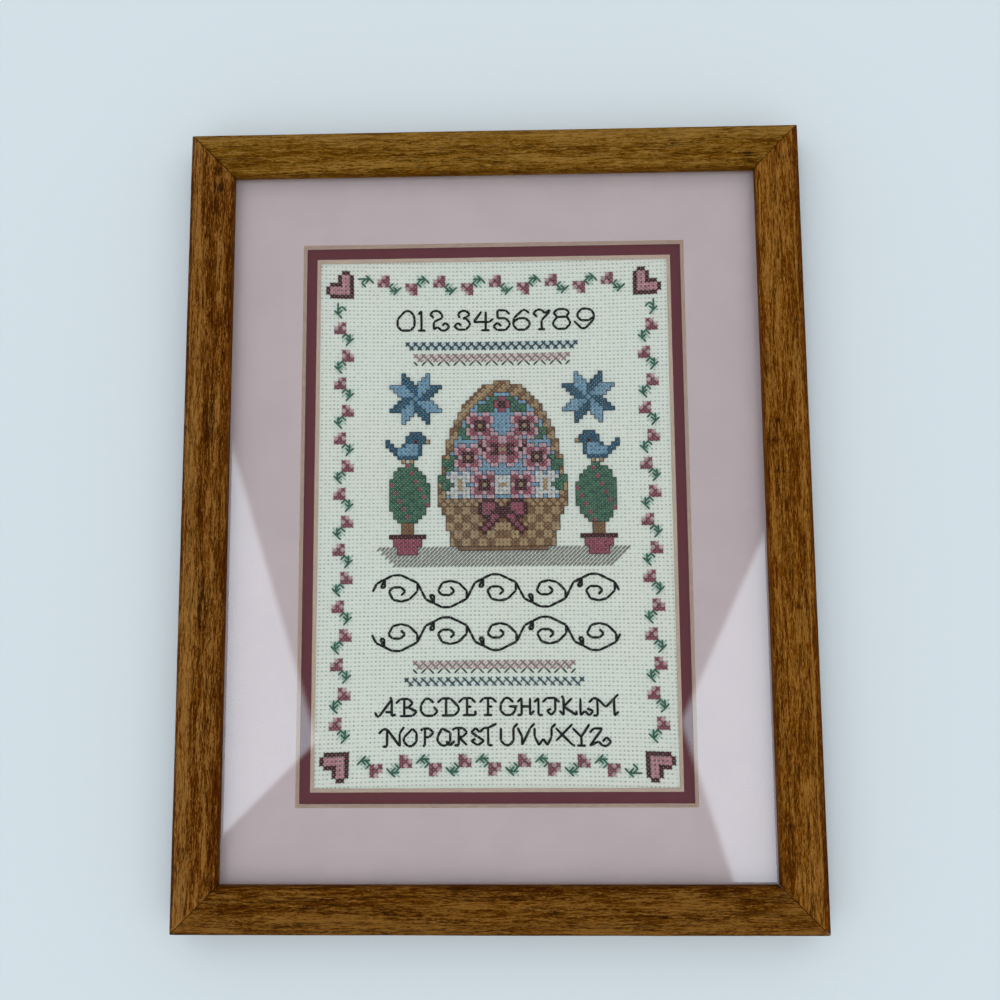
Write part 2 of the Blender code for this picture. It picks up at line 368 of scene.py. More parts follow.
def lay_yarn(name, legs, dye, strands=2, radius=STRAND_RADIUS, dive=-1.6, pinch=0.6):
    """One mesh of every leg (column, row, column, row, layer) that a yarn makes.

    A leg's ends dive into their holes by so many radii and are pinched to that share of its width.
    """
    legs = np.array(legs, float)
    start_x, start_y = chart_place(legs[:, 0], legs[:, 1])
    end_x, end_y = chart_place(legs[:, 2], legs[:, 3])
    layer = legs[:, 4]
    count = len(legs)
    length = np.hypot(end_x - start_x, end_y - start_y)
    run = np.stack([(end_x - start_x) / length, (end_y - start_y) / length], axis=1)
    side = np.stack([-run[:, 1], run[:, 0]], axis=1)
    shares = np.array([0.01, 0.17, 0.5, 0.83, 0.99])
    turns = TURNS_A_LEG * shares
    lifts = np.array([dive, 0.5, 0.8, 0.5, dive]) * radius
    layer_lifts = np.array([0.0, 0.75, 1.0, 0.75, 0.0]) * 1.9 * radius
    spreads = np.array([pinch, 0.97, 1.0, 0.97, pinch]) * (radius * 1.02 if strands == 2 else 0.0)
    tip = 0.5 + 0.4 * pinch
    girths = np.array([tip, 0.97, 1.0, 0.97, tip]) * radius
    around = np.arange(STRAND_SIDES) * 2 * math.pi / STRAND_SIDES
    all_points, all_faces, all_uvs = [], [], []
    rings = len(shares)
    for strand in range(strands):
        sideways = 2 * strand - 1 if strands == 2 else 0
        sway = yarn_chance.normal(0, 0.12 * radius, (count, rings)) * (spreads > 0)
        bob = yarn_chance.normal(0, 0.08 * radius, (count, rings))
        offset = sideways * spreads + sway
        centre_x = start_x[:, None] + shares * (length * run[:, 0])[:, None] + offset * side[:, :1]
        centre_y = start_y[:, None] + shares * (length * run[:, 1])[:, None] + offset * side[:, 1:]
        centre_z = CLOTH_TOP + lifts + layer[:, None] * layer_lifts + bob
        swell = girths * yarn_chance.uniform(0.92, 1.08, (count, rings))
        points = np.empty((count, rings, STRAND_SIDES, 3))
        outwards = np.cos(around) * swell[:, :, None]
        points[..., 0] = centre_x[:, :, None] + outwards * side[:, None, None, 0]
        points[..., 1] = centre_y[:, :, None] + outwards * side[:, None, None, 1]
        points[..., 2] = centre_z[:, :, None] + np.sin(around) * swell[:, :, None] * 0.85
        first = sum(len(block) for block in all_points)
        all_points.append(points.reshape(-1, 3))
        leg, ring, step = np.meshgrid(
            np.arange(count), np.arange(rings - 1), np.arange(STRAND_SIDES), indexing="ij"
        )
        base = first + (leg * rings + ring) * STRAND_SIDES
        after = (step + 1) % STRAND_SIDES
        quads = [base + step, base + after, base + STRAND_SIDES + after, base + STRAND_SIDES + step]
        all_faces.append(np.stack(quads, axis=-1).reshape(-1, 4))
        v_low, v_high = turns[ring], turns[ring + 1]
        u_low, u_high = step / STRAND_SIDES, (step + 1) / STRAND_SIDES
        corners = [(u_low, v_low), (u_high, v_low), (u_high, v_high), (u_low, v_high)]
        all_uvs.append(np.stack([np.stack(c, axis=-1) for c in corners], axis=-2).reshape(-1, 2))
    mesh = bpy.data.meshes.new(name)
    mesh.from_pydata(np.concatenate(all_points).tolist(), [], np.concatenate(all_faces).tolist())
    mesh.uv_layers.new(name="strand").uv.foreach_set("vector", np.concatenate(all_uvs).ravel())
    mesh.shade_smooth()
    mesh.materials.append(dye)
    return new_piece(name, mesh)


def cross(column, row):
    """The two legs of a whole cross stitch in one square."""
    return [(column, row + 1, column + 1, row, 0), (column, row, column + 1, row + 1, 1)]


def crosses(chart, key, column=0, row=0):
    """The legs of every square of a chart that holds the key."""
    legs = []
    for down, line in enumerate(chart):
        for across, mark in enumerate(line):
            if mark == key:
                legs += cross(column + across, row + down)
    return legs


def moved(legs, place):
    """The same legs with both ends put through a function of column and row."""
    return [(*place(leg[0], leg[1]), *place(leg[2], leg[3]), leg[4]) for leg in legs]


HEART = """
....DD.
...DPPD
...DPPD
.DDDPPD
DPPPPPD
DPPPPPD
.DDDDDD
""".split()
heart_legs = {}
for key in "DP":
    heart = crosses(HEART, key)
    heart_legs[key] = (
        heart
        + moved(heart, lambda column, row: (CHART_COLUMNS - column, row))
        + moved(heart, lambda column, row: (column, CHART_ROWS - row))
        + moved(heart, lambda column, row: (CHART_COLUMNS - column, CHART_ROWS - row))
    )
burgundy = yarn_finish("burgundy yarn", 86, 32, 42)
rose = yarn_finish("dusky rose yarn", 216, 154, 162)
lay_yarn("hearts_edge", heart_legs["D"], burgundy)
lay_yarn("hearts_filling", heart_legs["P"], rose)

# Border: small two-tone flowers on a zigzag, each with a leaf sprig in green backstitch over
# pale green half stitches. The side borders repeat the top one turned over its diagonal.
FLOWER = (".pR", "pRR", "RpR")
FLOWER_REPEAT = 7
FIRST_FLOWER = 13
SPRIG = [
    (2.6, 2.5, 4, 4, 0), (4, 2, 3, 3, 0), (4, 3, 5, 4, 0), (3, 4, 5, 4, 0), (6, 3, 4, 5, 1),
]
SPRIG_GROUND = [(3, 3), (4, 2), (4, 3), (5, 3), (3, 4), (4, 4)]
OPENING_SPRIG = [
    (8, 2, 11, 2, 0), (10, 1, 12, 3, 1), (11, 2, 10, 3, 0), (10, 2, 9, 3, 0), (9, 3, 10, 4, 0),
]
OPENING_GROUND = [(9, 2), (10, 2), (9, 3), (10, 1)]


def border(flowers):
    """The legs of one border by yarn, laid out as the top border is."""
    ground = [(c, r + 1, c + 1, r, 0) for c, r in OPENING_GROUND]
    legs = {"R": [], "p": [], "leaf": list(OPENING_SPRIG), "ground": ground}
    for number in range(flowers):
        column = FIRST_FLOWER + number * FLOWER_REPEAT
        up = number % 2 == 0
        top = 1 if up else 3
        for key in "Rp":
            legs[key] += crosses(FLOWER if up else FLOWER[::-1], key, column, top)

        def place(across, down):
            return column + across, top + (down if up else 3 - down)

        legs["leaf"] += moved(SPRIG, place)
        half = [(c, r + 1, c + 1, r, 0) for c, r in SPRIG_GROUND]
        legs["ground"] += moved(half, place)
    return legs


end_border = border(9)
side_border = border(15)
border_legs = {}
for key in ("R", "p", "leaf", "ground"):
    border_legs[key] = (
        end_border[key]
        + moved(end_border[key], lambda c, r: (CHART_COLUMNS - c, CHART_ROWS - r))
        + moved(side_border[key], lambda c, r: (r + 1, c))
        + moved(side_border[key], lambda c, r: (CHART_COLUMNS - r, c))
    )
leaf_green = yarn_finish("leaf green yarn", 62, 112, 94)
mint = yarn_finish("mint yarn", 204, 238, 218)
lay_yarn("border_leaf_ground", border_legs["ground"], mint, radius=0.22 * MM, dive=-0.6, pinch=0.8)
lay_yarn("border_flowers_rose", border_legs["R"], yarn_finish("rose yarn", 152, 78, 94))
lay_yarn("border_flowers_pink", border_legs["p"], yarn_finish("pink yarn", 218, 180, 184))
leaf_legs = [(*leg[:4], leg[4] + 1) for leg in border_legs["leaf"]]
lay_yarn("border_leaves", leaf_legs, leaf_green, radius=0.2 * MM, dive=-0.4, pinch=0.8)

# Numerals: backstitch in charcoal yarn, five squares tall, from nought to nine. Each line gives a
# numeral's first column and the points of its strokes, in squares from there.
NUMERAL_TOP = 10
NUMERALS = """
18 1,1 2,0 3,0 4,1 4.3,2.2 4.2,4 3.2,5 1,5 0,4 0,2.2 1,1
23 .2,.9 1,0 1,5|.1,5 2,5
26 1.1,1.8 .2,.9 1,0 2.3,0 3.2,1 3.2,1.8 1.1,2.8 1.1,4.7 2,4.1 3,5 4.1,5 5,4 4,3 3.2,3.8
32 1.6,1.8 1.2,.8 2.1,0 3.2,0 4.1,.9 3.4,1.6 2.4,2 3.2,2 4.1,3 4.1,3.8 3.1,4.8 1.2,4.8 .2,3.9 1.2,3.1 2,3.8
37 2.1,.2 .1,2.9 4,2.9 5,2.1|3.1,.2 3.1,5|2,5 4.1,5
42 4.1,1 3.1,0 1.1,0 1.1,2 3.1,2 4.1,3.1 4.1,3.9 3.1,5 1,5 0,4.1 1,3.1 2,4
47 4,.8 3,0 2.4,0 .2,2 0,3.8 1,5 3,5 4.1,4 4.1,3.1 3.1,2.1 1.3,2.1 .2,2.9
52 1,1.8 0,.9 1,0 2,0 3,.9 4.1,.1 4.1,.6 2.1,2.7 2.1,5|1.2,5 3,5
57 1,2 .1,.9 1.1,0 3,0 4,.8 3.3,1.9 1,2 0,3.2 0,4 1,5 3.1,5 4.2,3.9 4.1,3 3.3,1.9
62 .2,3.1 2,5 3,5 5,3 5.2,1.6 4.6,.5 3.4,0 2,.1 1.1,1.1 1.1,2.1 2,3 3.9,3 5,2.3
""".strip()


def in_squares(point):
    return [float(number) for number in point.split(",")]


def backstitch(strokes, read, column, row):
    """The legs of strokes, one from each point to the next. A | parts strokes, a space points."""
    legs = []
    for stroke in strokes.split("|"):
        line = [read(point) for point in stroke.split()]
        for (start_c, start_r), (end_c, end_r) in zip(line, line[1:]):
            legs.append((column + start_c, row + start_r, column + end_c, row + end_r, 0))
    return legs


numeral_legs = []
for numeral in NUMERALS.split("\n"):
    column, strokes = numeral.split(" ", 1)
    numeral_legs += backstitch(strokes, in_squares, int(column), NUMERAL_TOP)
charcoal = yarn_finish("charcoal yarn", 12, 21, 19)
WRITING = {"radius": 0.27 * MM, "dive": -0.1, "pinch": 0.85}
lay_yarn("numerals", numeral_legs, charcoal, **WRITING)

# Bands: rows of blue and of pink crosses set like a chequer among pale half stitches, and a row of
# green half stitches that lean in turn, below the numerals and, the other way up, above the
# alphabet. In the lower blue band the pale stitches lie on the blue ones and not between them.
def chequer(*rows):
    """Crosses in every other square of each row, given as its first and last column and its row."""
    return [
        leg
        for first, last, row in rows
        for column in range(first, last + 1, 2)
        for leg in cross(column, row)
    ]


blue_legs = chequer((20, 62, 18), (21, 61, 19), (20, 62, 102), (21, 61, 103))
pale_blue_legs = chequer((21, 61, 18), (22, 60, 19), (22, 60, 102), (21, 61, 103))
pink_legs = chequer((22, 60, 21), (23, 59, 22), (22, 60, 98), (23, 59, 99))
pale_pink_legs = chequer((23, 59, 21), (24, 58, 22), (23, 59, 98), (24, 58, 99))
green_legs = []
for row in (23, 100):
    green_legs += [(column, row, column + 1, row + 1, 0) for column in range(22, 60, 4)]
    green_legs += [(column, row + 1, column + 1, row, 0) for column in range(24, 61, 4)]
lay_yarn("bands_pale_blue", pale_blue_legs[::2], yarn_finish("pale blue yarn", 216, 230, 240))
lay_yarn("bands_pale_pink", pale_pink_legs[::2], yarn_finish("band pale pink yarn", 240, 210, 208))
blue = yarn_finish("blue yarn", 62, 92, 102)
lay_yarn("bands_blue", blue_legs, blue, radius=0.22 * MM, dive=-0.8)
pink = yarn_finish("band pink yarn", 180, 144, 144)
lay_yarn("bands_pink", pink_legs, pink, radius=0.19 * MM, dive=-0.8)
moss = yarn_finish("moss yarn", 64, 86, 70)
lay_yarn("bands_green", green_legs, moss, radius=0.19 * MM, dive=-0.4, pinch=0.8)

# Alphabet: two rows of plain capitals with short serifs, in charcoal backstitch. Each line gives
# a letter, its first column and the points of its strokes, as pairs of half squares in base 16.
UPPER_ROW, LOWER_ROW = 106, 113
LETTERS = """
A 13 08 1a 2a 82 8a a9|58 88|71 82
B 18 42 4a|04 22 62 84 66 46|66 a8 8a 2a
C 24 64 42 22 05 08 2a 6a 88 66
D 28 42 4a|04 22 62 a6 a8 8a 2a
E 33 04 22 62 84|42 4a|46 66|2a 8a 88
F 38 04 22 62 84|42 4a|46 66|2a 6a
G 43 64 42 22 05 08 2a 5a 78 76|46 86
H 47 04 22 2a 0a|62 6a 88|26 66
I 51 04 22 2a 4a
J 53 04 22 62 84|62 68 4a 28 47
K 57 11 22 2a 08|62 26 8a 88
L 62 02 0a 28 4a 68 47 37
M 64 04 22 42 86 c2 e0|42 4a 2a|c2 ca e8
N 14 04 22 42 aa a4 c1|42 4a 2a
O 20 42 06 08 2a 4a 68 64 42
P 24 03 12 42 64 46 26|22 2a 1a
Q 28 22 06 08 2a 4a 68 64 22|48 6a 88
R 31 13 22 62 84 66 46 8a|42 4a 2a
S 36 44 22 04 36 68 3a 08 27
T 38 04 22 42 80|42 4a 6a
U 43 02 08 2a 4a 68 62 80
V 47 02 26 2a 62 80
W 51 02 06 2a 47 6a 86 82 a0
X 56 02 8a 9a|80 08
Y 60 02 46 80|46 4a|2a 6a
Z 64 04 22 62 0a 48 6a 8a a8 86 68
""".strip()


def in_half_squares(point):
    return [int(digit, 16) / 2 for digit in point]


alphabet_legs = []
for line in LETTERS.split("\n"):
    letter, column, strokes = line.split(" ", 2)
    row = UPPER_ROW if letter < "N" else LOWER_ROW
    alphabet_legs += backstitch(strokes, in_half_squares, int(column), row)
lay_yarn("alphabet", alphabet_legs, charcoal, **WRITING)

# Flower basket: a wicker basket of roses and daisies with a blue lining to its handle, between
# two potted trees with a bird on each and a quilt star above. All forms are in whole cross
# stitches with a backstitched edge, on a ground of grey half stitches.
PICTURE_LEFT = 15
PICTURE_TOP = 26
PICTURE_COLUMNS = 58
PICTURE_ROWS = 49
RIM_ROW = 32
BASKET_DEPTH = 12
GROUND_ROW = 44
ARCH_HALF_WIDTH, ARCH_HEIGHT = 15.2, 29.5
TREE_OUT, TREE_ROW, TREE_HALF_WIDTH, TREE_HALF_HEIGHT = 23.2, 30.5, 5.1, 7.6
POT_OUT = 23.5
ROSE_HALF = "..pp. .prrp prrrp prddr .prdt prddr prrrp .prrp ..pp.".split()
ROSE = ".pp.pp. prrprrp prdddrp .pdtdp. prdddrp prrprrp .pp.pp.".split()
DAISY = ".ww.ww. wwwwwww .wwtww. ..wtw.. .wwtww. wwwwwww .ww.ww.".split()
BUD = ".rr. rddr rddr .rr.".split()
SPRAY = "...gg ..gGg ggGg. gGGg. .gg..".split()
DROOP = "gg... gGg.. .gGgg .gGGg ..gg.".split()
BIRD = """
......bbb..
.....bbbbb.
b....bbdbbt
bb..blllb..
.bblllllb..
..blllllb..
...bbbbb...
....t.t....
""".split()
BOW_HALF = """
.ddd..
drrrd.
drrrdd
drrddd
.ddrrd
..drd.
.drd..
drd...
.d....
""".split()
STAR_REACH = 6
STAR_MIDDLE = (7, 6)
picture = {}


def paint(column, row, mark, motif):
    """One square of the picture, of a yarn and a motif."""
    if mark != ".":
        picture[column, row] = (mark, motif)


def paint_pair(chart, column, row, motif, joined=False):
    """A small chart and its mirror image, which make one motif where they are joined."""
    for down, line in enumerate(chart):
        for across, mark in enumerate(line):
            paint(column + across, row + down, mark, motif)
            mirrored = PICTURE_COLUMNS - 1 - column - across
            paint(mirrored, row + down, mark, motif if joined else motif + " mirrored")


for row in range(PICTURE_ROWS):
    for column in range(PICTURE_COLUMNS):
        across = abs(column + 0.5 - PICTURE_COLUMNS / 2)
        arch = math.hypot(across / ARCH_HALF_WIDTH, (row - RIM_ROW) / ARCH_HEIGHT)
        if row < RIM_ROW and arch <= 0.925:
            paint(column, row, "l", "lining")
        elif row < RIM_ROW and arch < 1.03:
            paint(column, row, "t" if (row + column) % 4 < 2 else "n", "handle")
        depth = row - RIM_ROW
        if 0 <= depth < 2 and across < 16.5:
            paint(column, row, "t" if (column + row) % 2 else "n", "rim")
        elif 2 <= depth < BASKET_DEPTH and across < 15.5 - 0.27 * depth:
            paint(column, row, "t" if (int(across) // 2 + depth // 2) % 2 else "n", "basket")
        elif depth == BASKET_DEPTH and across < 11.5:
            paint(column, row, "n", "foot")
        side = " left" if column < PICTURE_COLUMNS / 2 else " right"
        from_tree = (across - TREE_OUT) / TREE_HALF_WIDTH, (row - TREE_ROW) / TREE_HALF_HEIGHT
        if math.hypot(*from_tree) < 1:
            leaves = "G" if (column + 2 * row) % 5 < 2 else "g"
            paint(column, row, "r" if (column * 3 + row * 5) % 13 == 0 else leaves, "tree" + side)
        if 37 < row < 41 and abs(across - POT_OUT) < 1.1:
            paint(column, row, "n", "trunk" + side)
        if 40 < row < 46 and abs(across - POT_OUT) < 4.2 - 0.4 * (row - 41):
            paint(column, row, "d" if row == 41 else "r", "pot" + side)
for number, (chart, column, row) in enumerate((
    (SPRAY, 14, 20), (DROOP, 13, 26), (SPRAY, 18, 12), (DROOP, 23, 27), (SPRAY, 23, 6),
    (ROSE, 20, 10), (BUD, 22, 17), (DAISY, 15, 25), (ROSE, 17, 18), (ROSE, 21, 25), (BIRD, 0, 15),
)):
    paint_pair(chart, column, row, f"motif {number}")
paint_pair(ROSE_HALF, 24, 15, "middle rose", joined=True)
paint_pair([line[:2] for line in BUD], 27, 6, "top bud", joined=True)
paint_pair(["ww", "ww", "wt", "ww", "ww"], 27, 26, "low daisy", joined=True)
paint_pair(BOW_HALF, 23, 32, "bow", joined=True)
for down in range(-STAR_REACH, STAR_REACH + 1):
    for across in range(-STAR_REACH, STAR_REACH + 1):
        near, far = sorted((abs(across), abs(down)))
        if near > 3 or far > near + 3:
            continue
        mark = "b" if (abs(down) > abs(across)) == (across * down > 0) else "l"
        if near in (0, far):
            mark = "l" if near == far else "b"
        column = STAR_MIDDLE[0] + across
        paint(column, STAR_MIDDLE[1] + down, mark, "star")
        paint(PICTURE_COLUMNS - 1 - column, STAR_MIDDLE[1] + down, mark, "star mirrored")
YARNS = {
    "d": ("burgundy", burgundy),
    "r": ("rose", yarn_finish("blossom rose yarn", 172, 84, 104)),
    "p": ("pale_pink", yarn_finish("pale pink yarn", 226, 184, 192)),
    "w": ("white", yarn_finish("white yarn", 238, 232, 226)),
    "t": ("tan", yarn_finish("tan yarn", 196, 162, 120)),
    "n": ("brown", yarn_finish("brown yarn", 146, 104, 66)),
    "g": ("green", yarn_finish("mid green yarn", 84, 132, 102)),
    "G": ("deep_green", leaf_green),
    "l": ("light_blue", yarn_finish("light blue yarn", 142, 182, 208)),
    "b": ("teal", yarn_finish("teal yarn", 58, 106, 132)),
}
for mark, (name, dye) in YARNS.items():
    legs = []
    for (column, row), (painted, _) in picture.items():
        if painted == mark:
            legs += cross(PICTURE_LEFT + column, PICTURE_TOP + row)
    lay_yarn("picture_" + name, legs, dye)
ground_legs = []
for row in range(GROUND_ROW, PICTURE_ROWS):
    inset = row - GROUND_ROW - 2
    for column in range(inset, PICTURE_COLUMNS - inset):
        if (column, row) not in picture:
            c, r = PICTURE_LEFT + column, PICTURE_TOP + row
            ground_legs.append((c, r + 1, c + 1, r, 0))
lay_yarn("picture_ground", ground_legs, yarn_finish("grey yarn", 146, 142, 136))
outline_legs = set()
EDGES = {(0, -1): (0, 0, 1, 0), (0, 1): (0, 1, 1, 1), (-1, 0): (0, 0, 0, 1), (1, 0): (1, 0, 1, 1)}
for (column, row), (_, motif) in picture.items():
    for (step_c, step_r), (c0, r0, c1, r1) in EDGES.items():
        if picture.get((column + step_c, row + step_r), (None, None))[1] != motif:
            c, r = PICTURE_LEFT + column, PICTURE_TOP + row
            outline_legs.add((c + c0, r + r0, c + c1, r + r1, 1))
outline_yarn = yarn_finish("outline yarn", 64, 46, 42)
lay_yarn(
    "picture_outline", sorted(outline_legs), outline_yarn, strands=1, radius=0.17 * MM, dive=-0.4
)

# Scroll work: two rows of a running vine with curls, in charcoal backstitch, under the basket.
SCROLL = (
    "0,4 1,2 3,1 5,0 7,0 9,1 11,2 12,4|11,2 11,4 9,6 7,6.5 5,6 4,4 5,3 7,3 8,4 7,5|3,1 2,3 3,3 3,1"
)
SCROLL_TOPS = (77, 87.5)
SCROLL_HEIGHT = 8
SCROLL_FIRST = 12
SCROLL_REPEAT = 12
REPEATS_A_ROW = 5
scroll = backstitch(SCROLL, in_squares, 0, 0)
scroll_legs = []
for line, top in enumerate(SCROLL_TOPS):
    for number in range(REPEATS_A_ROW):
        hangs = (number + line) % 2 == 1

        def place(column, row):
            across = SCROLL_FIRST + number * SCROLL_REPEAT + column
            return across, top + (SCROLL_HEIGHT - row if hangs else row)

        scroll_legs += moved(scroll, place)
lay_yarn("scroll_work", scroll_legs, charcoal, **WRITING)

# Mats: two paper-faced boards with windows bevelled at 45 degrees, the burgundy one showing as a
# narrow edge inside the pink one. The bevels bare the tan core.
WINDOW_SHIFT = -0.4 * MM
WINDOW_WIDTH = 87.2 * SQUARE
WINDOW_HEIGHT = 129.7 * SQUARE
REVEAL_SIDE = 4.6 * MM
REVEAL_END = 4.8 * MM
MAT_ARRIS = 0.12 * MM
CUT_WANDER = 0.03 * MM
STEPS_A_SIDE = 24


def paper_finish(name, red, green, blue):
    """Matt coloured paper: faintly mottled, with a fine tooth."""
    finish = Finish(name, {"Roughness": 0.86, "Specular IOR Level": 0.3})
    mottle = finish.noise(0.05, 0.05, 0.05, detail=4, roughness=0.6).ramp(0.3, 0.7)
    tooth = finish.noise(2.2, 2.2, 2.2, detail=5, roughness=0.75)
    fibres = finish.noise(0.5, 4.0, 2.0, detail=3, distortion=1.0, seed=9.0).ramp(0.6, 0.72)
    deep = colour(red * 0.955, green * 0.955, blue * 0.96)
    tone = finish.mix(mottle * 0.5 + tooth * 0.5, deep, colour(red, green, blue))
    faint = colour(*(min(255, channel * 1.05 + 3) for channel in (red, green, blue)))
    tone = finish.mix(fibres * 0.5, tone, faint)
    finish.vary(Base_Color=tone, Normal=finish.bump(tooth + fibres * 0.3, 0.05 * MM))
    return finish.material


def cut_mat(name, node, width, height, paper, core):
    """A board with a bevelled window, from its CAD node's box and its window at the back."""
    low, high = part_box(node)
    depth = high.z - low.z
    bows = random.Random(name)

    def ring(half_x, half_y, z, shift, wander=0.0):
        signs = ((-1, -1), (1, -1), (1, 1), (-1, 1))
        corners = [(shift + sx * half_x, sy * half_y) for sx, sy in signs]
        found = []
        for index, (x, y) in enumerate(corners):
            next_x, next_y = corners[(index + 1) % 4]
            for step in range(STEPS_A_SIDE):
                share = step / STEPS_A_SIDE
                lean = wander * bows.uniform(-1, 1) * (0 < step)
                lean_x, lean_y = (lean, 0) if index % 2 else (0, lean)
                found.append((
                    x + (next_x - x) * share + lean_x, y + (next_y - y) * share + lean_y, z,
                ))
        return found

    half_x, half_y = width / 2, height / 2
    rings = [
        ring(high.x, high.y, low.z, 0),
        ring(high.x, high.y, high.z, 0),
        ring(half_x + depth + 3 * MAT_ARRIS, half_y + depth + 3 * MAT_ARRIS, high.z, WINDOW_SHIFT),
        ring(half_x + depth + MAT_ARRIS, half_y + depth + MAT_ARRIS, high.z, WINDOW_SHIFT),
        ring(half_x + depth, half_y + depth, high.z - MAT_ARRIS / 2, WINDOW_SHIFT, CUT_WANDER),
        ring(half_x + depth / 2, half_y + depth / 2, low.z + depth / 2, WINDOW_SHIFT, CUT_WANDER),
        ring(half_x, half_y, low.z, WINDOW_SHIFT),
    ]
    count = len(rings[0])
    faces, kinds = [], []
    for index in range(len(rings)):
        base, after = index * count, (index + 1) % len(rings) * count
        for step in range(count):
            onward = (step + 1) % count
            faces.append((base + step, base + onward, after + onward, after + step))
            kinds.append(0 if index in (1, 2, 3) else 1)
    mesh = bpy.data.meshes.new(name)
    mesh.from_pydata([point for points in rings for point in points], [], faces)
    mesh.materials.append(paper)
    mesh.materials.append(core)
    mesh.polygons.foreach_set("material_index", kinds)
    piece = new_piece(name, mesh)
    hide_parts(node)
    return piece


def core_finish(name, deep, light):
    """The pressed core that a bevel bares, in thin layers."""
    finish = Finish(name, {"Roughness": 0.9, "Specular IOR Level": 0.2})
    layers = finish.noise(0.3, 0.3, 9.0, detail=3)
    tone = finish.mix(layers.ramp(0.35, 0.65), deep, light)
    finish.vary(Base_Color=tone, Normal=finish.bump(layers, 0.05 * MM))
    return finish.material


cut_mat(
    "burgundy_mat", "inner_mat", WINDOW_WIDTH, WINDOW_HEIGHT,
    paper_finish("burgundy mat paper", 103, 47, 55),
    core_finish("pale tan core", colour(192, 166, 150), colour(214, 188, 170)),
)
inner_low, inner_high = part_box("inner_mat")
mat_depth = inner_high.z - inner_low.z
cut_mat(
    "pink_mat", "outer_mat",
    WINDOW_WIDTH + 2 * (mat_depth + REVEAL_SIDE), WINDOW_HEIGHT + 2 * (mat_depth + REVEAL_END),
    paper_finish("pink mat paper", 208, 188, 190),
    core_finish("deep tan core", colour(180, 152, 138), colour(202, 174, 158)),
)

# Glass: one sheet of 2 mm picture glass, clear, with a mirror gloss that is strongest at a
# slant. It lies on the mats and is held down by the frame's lip.
glass_finish = Finish("picture glass", {"Roughness": 0.02})
gloss = glass_finish.node("BsdfGlossy", {}, {"Color": (1, 1, 1, 1), "Roughness": 0.015})
clear = glass_finish.node("BsdfTransparent", {}, {"Color": (0.985, 0.995, 0.99, 1)})
slant = glass_finish.node("Fresnel", {}, {"IOR": 1.5})
inside = glass_finish.node("NewGeometry", {}, {}, output="Backfacing")
dust = glass_finish.noise(0.03, 0.03, 0.03, detail=5, roughness=0.6).ramp(0.35, 0.8)
mirrored = (slant * 2 + dust * 0.006) * (1 - inside)
pane = glass_finish.node("MixShader", {}, {0: mirrored, 1: clear, 2: gloss})
glass_finish.feed(glass_finish.tree.nodes["Material Output"], {"Surface": pane})
dress("glazing", glass_finish.material)

# Rails: four lengths of oak moulding with a round ridge and a small lip, stained honey brown and
# varnished to a satin. They are mitred, glued and pressed together, so that only hairlines show.
LIP_COVER = 8.9 * MM
REBATE_WIDTH = 9.2 * MM
LIP_ARRIS_HEIGHT = 15.7 * MM
LIP_ROUNDING = 2.2 * MM
RIDGE_FROM_SIGHT = 15.0 * MM
RIDGE_HEIGHT = 18.7 * MM
RIDGE_ROUNDING = 10.0 * MM
SHOULDER_HEIGHT = 16.1 * MM
SHOULDER_ROUNDING = 2.2 * MM
BACK_ROUNDING = 0.5 * MM
REBATE_ROOF = 11.3 * MM
CORNER_ROUNDING = 1.2 * MM
END_ARRIS = 0.18 * MM
ARC_STEPS = 12
LENGTHWAYS_STEP = 2.0 * MM
SWAY_A_STEP = 0.012 * MM
STRAIGHT_LIP = 1.0 * MM
NEARLY = 0.01 * MM
panel_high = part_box("glazing")[1]
sight_x, sight_y = panel_high.x - LIP_COVER, panel_high.y - LIP_COVER
rail_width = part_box("rail_right")[1].x - sight_x


def rounded(corners):
    """An outline of (u, z) points with each corner of radius r turned into an arc."""
    points = []
    for index, (u, z, radius) in enumerate(corners):
        before = np.array(corners[index - 1][:2]) - (u, z)
        after = np.array(corners[(index + 1) % len(corners)][:2]) - (u, z)
        if radius == 0:
            points.append((u, z))
            continue
        before, after = before / np.linalg.norm(before), after / np.linalg.norm(after)
        half_angle = math.acos(float(np.clip(before @ after, -1, 1))) / 2
        bisector = (before + after) / np.linalg.norm(before + after)
        centre = np.array((u, z)) + bisector * radius / math.sin(half_angle)
        start = np.array((u, z)) + before * radius / math.tan(half_angle) - centre
        end = np.array((u, z)) + after * radius / math.tan(half_angle) - centre
        sweep = math.atan2(start[0] * end[1] - start[1] * end[0], start @ end)
        for step in range(ARC_STEPS + 1):
            turn = sweep * step / ARC_STEPS
            cos, sin = math.cos(turn), math.sin(turn)
            points.append((
                centre[0] + start[0] * cos - start[1] * sin,
                centre[1] + start[0] * sin + start[1] * cos,
            ))
    return points


section = rounded([
    (0.0, REBATE_ROOF, 0.0),
    (0.0, LIP_ARRIS_HEIGHT, LIP_ROUNDING),
    (RIDGE_FROM_SIGHT, RIDGE_HEIGHT, RIDGE_ROUNDING),
    (rail_width, SHOULDER_HEIGHT, SHOULDER_ROUNDING),
    (rail_width, 0.0, BACK_ROUNDING),
    (REBATE_WIDTH, 0.0, 0.0),
    (REBATE_WIDTH, REBATE_ROOF, 0.0),
])


